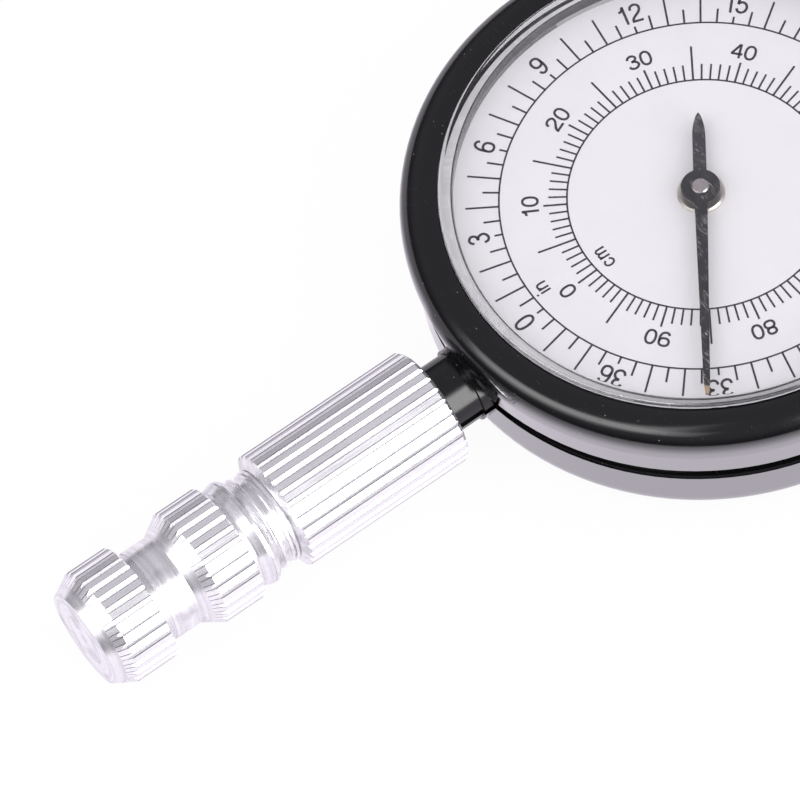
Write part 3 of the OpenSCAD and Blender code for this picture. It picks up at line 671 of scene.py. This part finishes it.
# Each figure is drawn with a pen on a field 0.6 wide and 1 high, and the next one stands a gap
# further on; narrow and wide signs have an advance of their own.
FIELD, GAP = 0.6, 0.06
ADVANCE = {"1": 0.60, "i": 0.24, "m": 0.90}
six = [(smooth([(0.52, 0.76), (0.46, 0.89), (0.32, 0.94), (0.17, 0.86), (0.09, 0.68),
                (0.07, 0.46), (0.08, 0.32)]), False), (oval(0.305, 0.31, 0.235, 0.25), True)]
STROKES = {
    "0": [(oval(0.30, 0.50, 0.235, 0.44), True)],
    "1": [([(0.36, 0.0), (0.36, 1.0)], False),
          (smooth([(0.12, 0.745), (0.22, 0.76), (0.31, 0.84), (0.35, 0.97)]), False)],
    "2": [(smooth([(0.07, 0.68), (0.12, 0.86), (0.30, 0.94), (0.48, 0.87), (0.53, 0.70),
                   (0.44, 0.52), (0.24, 0.34), (0.11, 0.20), (0.07, 0.06)]), False),
          ([(0.02, 0.06), (0.57, 0.06)], False)],
    "3": [(smooth([(0.08, 0.74), (0.15, 0.88), (0.30, 0.94), (0.45, 0.87), (0.50, 0.74),
                   (0.43, 0.60), (0.24, 0.54)]), False),
          (smooth([(0.24, 0.54), (0.43, 0.49), (0.54, 0.30), (0.46, 0.13), (0.29, 0.06),
                   (0.13, 0.12), (0.06, 0.27)]), False)],
    "4": [([(0.44, 0.0), (0.44, 0.97)], False), ([(0.42, 0.95), (0.06, 0.29)], False),
          ([(0.03, 0.29), (0.59, 0.29)], False)],
    "5": [([(0.53, 0.93), (0.15, 0.93)], False), ([(0.16, 0.95), (0.10, 0.49)], False),
          (smooth([(0.10, 0.49), (0.20, 0.59), (0.34, 0.61), (0.48, 0.52), (0.54, 0.34),
                   (0.46, 0.14), (0.28, 0.06), (0.12, 0.12), (0.06, 0.26)]), False)],
    "6": six,
    "7": [([(0.05, 0.93), (0.57, 0.93)], False),
          (smooth([(0.55, 0.93), (0.38, 0.66), (0.28, 0.36), (0.23, 0.0)]), False)],
    "8": [(oval(0.30, 0.735, 0.20, 0.205), True), (oval(0.30, 0.295, 0.235, 0.235), True)],
    "9": [([Vector((FIELD - p[0], 1.0 - p[1])) for p in path], closed) for path, closed in six],
    "i": [([(0.10, 0.0), (0.10, 0.68)], False), ([(0.10, 0.86), (0.10, 0.98)], False)],
    "n": [([(0.10, 0.0), (0.10, 0.70)], False),
          (smooth([(0.10, 0.45), (0.20, 0.61), (0.34, 0.65), (0.45, 0.58), (0.49, 0.42),
                   (0.49, 0.0)]), False)],
    "c": [(smooth([(0.50, 0.50), (0.42, 0.61), (0.29, 0.66), (0.14, 0.57), (0.08, 0.35),
                   (0.14, 0.13), (0.29, 0.05), (0.42, 0.10), (0.51, 0.22)]), False)],
    "m": [([(0.10, 0.0), (0.10, 0.70)], False),
          (smooth([(0.10, 0.45), (0.19, 0.61), (0.30, 0.65), (0.40, 0.57), (0.42, 0.42),
                   (0.42, 0.0)]), False),
          (smooth([(0.42, 0.45), (0.51, 0.61), (0.62, 0.65), (0.72, 0.57), (0.74, 0.42),
                   (0.74, 0.0)]), False)],
}


def lettered(text, angle, radius, high, wide, pen):
    """A figure with its top outwards; wide is its width over its height for one numeral."""
    advances = [ADVANCE.get(sign, FIELD + GAP) for sign in text]
    total = sum(advances) - GAP
    squeeze = wide / FIELD
    left = 0.0
    for sign, advance in zip(text, advances):
        middle = (left + FIELD / 2 - total / 2) * high * squeeze
        turned = angle - middle / radius
        place = (Matrix.Translation((radius * cos(turned), radius * sin(turned), face_z))
                 @ Matrix.Rotation(turned - pi / 2, 4, "Z"))
        for path, closed in STROKES[sign]:
            points = [((p[0] - FIELD / 2) * high * squeeze, (p[1] - 0.5) * high) for p in path]
            strip(printed, points, pen, closed, place)
        left += advance


for unit in range(0, outer_units, 3):
    lettered(str(unit), zero_angle - 2 * pi * unit / outer_units, 1.119 * outer_r,
             high=0.00150, wide=0.56, pen=0.00018)
for unit in range(0, inner_units, 10):
    lettered(str(unit), zero_angle - 2 * pi * unit / inner_units, 0.8465 * outer_r,
             high=0.00116, wide=0.72, pen=0.00017)
for text, past_zero, share in (("in", 6.0, 0.943), ("cm", 3.0, 0.600)):
    lettered(text, zero_angle - radians(past_zero), share * outer_r,
             high=0.00108, wide=0.62, pen=0.00014)
circle_sides, circle_pen = 360, 0.00012
for radius in (outer_r, inner_r):
    turns = [2 * pi * i / circle_sides for i in range(circle_sides)]
    strip(printed, [(radius * cos(a), radius * sin(a)) for a in turns], circle_pen, True,
          Matrix.Translation((0, 0, face_z)))
bmesh.ops.recalc_face_normals(printed, faces=printed.faces)
scales = mesh_object("dial_scales", printed, ink)
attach(scales, "case")

# Flange and collet: nickel-plated turned pieces under the pointer; the arbor's end is riveted
# over the hub and left as bright steel.
nickel = turned_metal("bright_nickel", (0.86, 0.82, 0.76), (0.70, 0.65, 0.58), roughness=0.34)
finish_node(nickel, "centre_bush", "pointer_collet")
rivet = turned_metal("rivet_steel", (0.84, 0.79, 0.79), (0.70, 0.64, 0.64), roughness=0.24,
                     pitch=1.2, depth=0.001)
finish_node(rivet, "centre_arbor")


# Pointer: stamped metal sheet, lacquered black, riveted on the centre arbor by its hub. It was
# scratched in assembly and is worn bare at the very point.
def black_lacquer():
    blade_angle = radians(-35.4)
    bare_from, bare_whole = 15.25, 15.4
    tail_black, blade_black = (0.030, 0.029, 0.036), (0.010, 0.0098, 0.012)
    bare_scratch, dusted, bare_tip = (0.66, 0.63, 0.63), (0.36, 0.34, 0.34), (0.46, 0.33, 0.20)
    material, tree, output = new_material("black_lacquer")
    shader = surface(tree, output)
    mm = millimetres(tree)
    marks = place_group(tree, handling_marks, Scratches=1.55, Dust=2.2, Cloud=0.8, Fine=2.2)
    along = tree.nodes.new("ShaderNodeVectorMath")
    along.operation = "DOT_PRODUCT"
    along.inputs[1].default_value = (cos(blade_angle), sin(blade_angle), 0)
    link(tree, mm, along.inputs[0])
    bare = shaped(tree, along.outputs["Value"], bare_from, bare_whole)
    coat = colour_mix(tree, shaped(tree, along.outputs["Value"], -2.5, 0.5),
                      tail_black, blade_black)
    worn = colour_mix(tree, marks.outputs["Scratch Mask"], coat, bare_scratch)
    dusty = colour_mix(tree, marks.outputs["Dust Mask"], worn, dusted)
    link(tree, colour_mix(tree, bare, dusty, bare_tip), shader.inputs["Base Color"])
    rough = maths(tree, "ADD", maths(tree, "MULTIPLY", marks.outputs["Cloud Mask"], 0.12), 0.32)
    link(tree, rough, shader.inputs["Roughness"])
    bump(tree, shader, marks.outputs["Height"], 0.02, 0.6)
    return material


finish_node(black_lacquer(), "pointer")


# Crystal: clear acrylic moulded as a shallow cup, with a rounded rim; its skirt stands on the
# edge of the dial and is held by its fit in the window.
def turned_shape(profile, sides=192):
    """Spins a profile of (radius, height) that starts and ends on the axis."""
    on_axis = 1e-9
    shape = bmesh.new()
    rings = []
    for radius, height in profile:
        if radius < on_axis:
            rings.append([shape.verts.new((0, 0, height))])
        else:
            rings.append([shape.verts.new((radius * cos(2 * pi * i / sides),
                                           radius * sin(2 * pi * i / sides), height))
                          for i in range(sides)])
    for k in range(len(rings) - 1):
        low, high = rings[k], rings[k + 1]
        for i in range(sides):
            j = (i + 1) % sides
            corner = ([low[i % len(low)], low[j % len(low)], high[j % len(high)],
                       high[i % len(high)]])
            unique = [v for n, v in enumerate(corner) if v not in corner[:n]]
            if len(unique) > 2:
                shape.faces.new(unique)
    bmesh.ops.recalc_face_normals(shape, faces=shape.faces)
    return shape


def arc(r, z, radius, start, end, steps=6):
    return [(r + radius * cos(radians(start + (end - start) * i / steps)),
             z + radius * sin(radians(start + (end - start) * i / steps)))
            for i in range(steps + 1)]


def clear_acrylic():
    material, tree, output = new_material("clear_acrylic")
    shader = surface(tree, output, IOR=1.49, Transmission_Weight=1.0)
    link(tree, shaped(tree, noise(tree, millimetres(tree), 0.3, 3.0), 0.4, 0.7, 0.0, 0.03),
         shader.inputs["Roughness"])
    clear = tree.nodes.new("ShaderNodeBsdfTransparent")
    path = tree.nodes.new("ShaderNodeLightPath")
    mix = tree.nodes.new("ShaderNodeMixShader")
    link(tree, maths(tree, "MAXIMUM", path.outputs["Is Shadow Ray"],
                     path.outputs["Is Diffuse Ray"]), mix.inputs[0])
    link(tree, shader.outputs[0], mix.inputs[1])
    link(tree, clear.outputs[0], mix.inputs[2])
    link(tree, mix.outputs[0], output.inputs["Surface"])
    return material


crystal_low, crystal_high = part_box("crystal")
crystal_r, crystal_top = crystal_high[0], crystal_high[2]
skirt_t, top_t = 0.00085, 0.0007
inner_wall = crystal_r - skirt_t
roof = crystal_top - top_t
rim, inner_round = 0.00032, 0.0002
profile = ([(0, roof), (inner_wall - inner_round, roof)]
           + arc(inner_wall - inner_round, roof - inner_round, inner_round, 90, 0, 4)[1:]
           + [(inner_wall, crystal_low[2]), (crystal_r, crystal_low[2])]
           + arc(crystal_r - rim, crystal_top - rim, rim, 0, 90) + [(0, crystal_top)])
crystal = mesh_object("clear_crystal", turned_shape(profile), clear_acrylic())
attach(crystal, "case")
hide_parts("crystal")


def shade_smooth(made, angle=30):
    for face in made.data.polygons:
        face.use_smooth = True
    made.data.set_sharp_from_angle(angle=radians(angle))


shade_smooth(crystal)
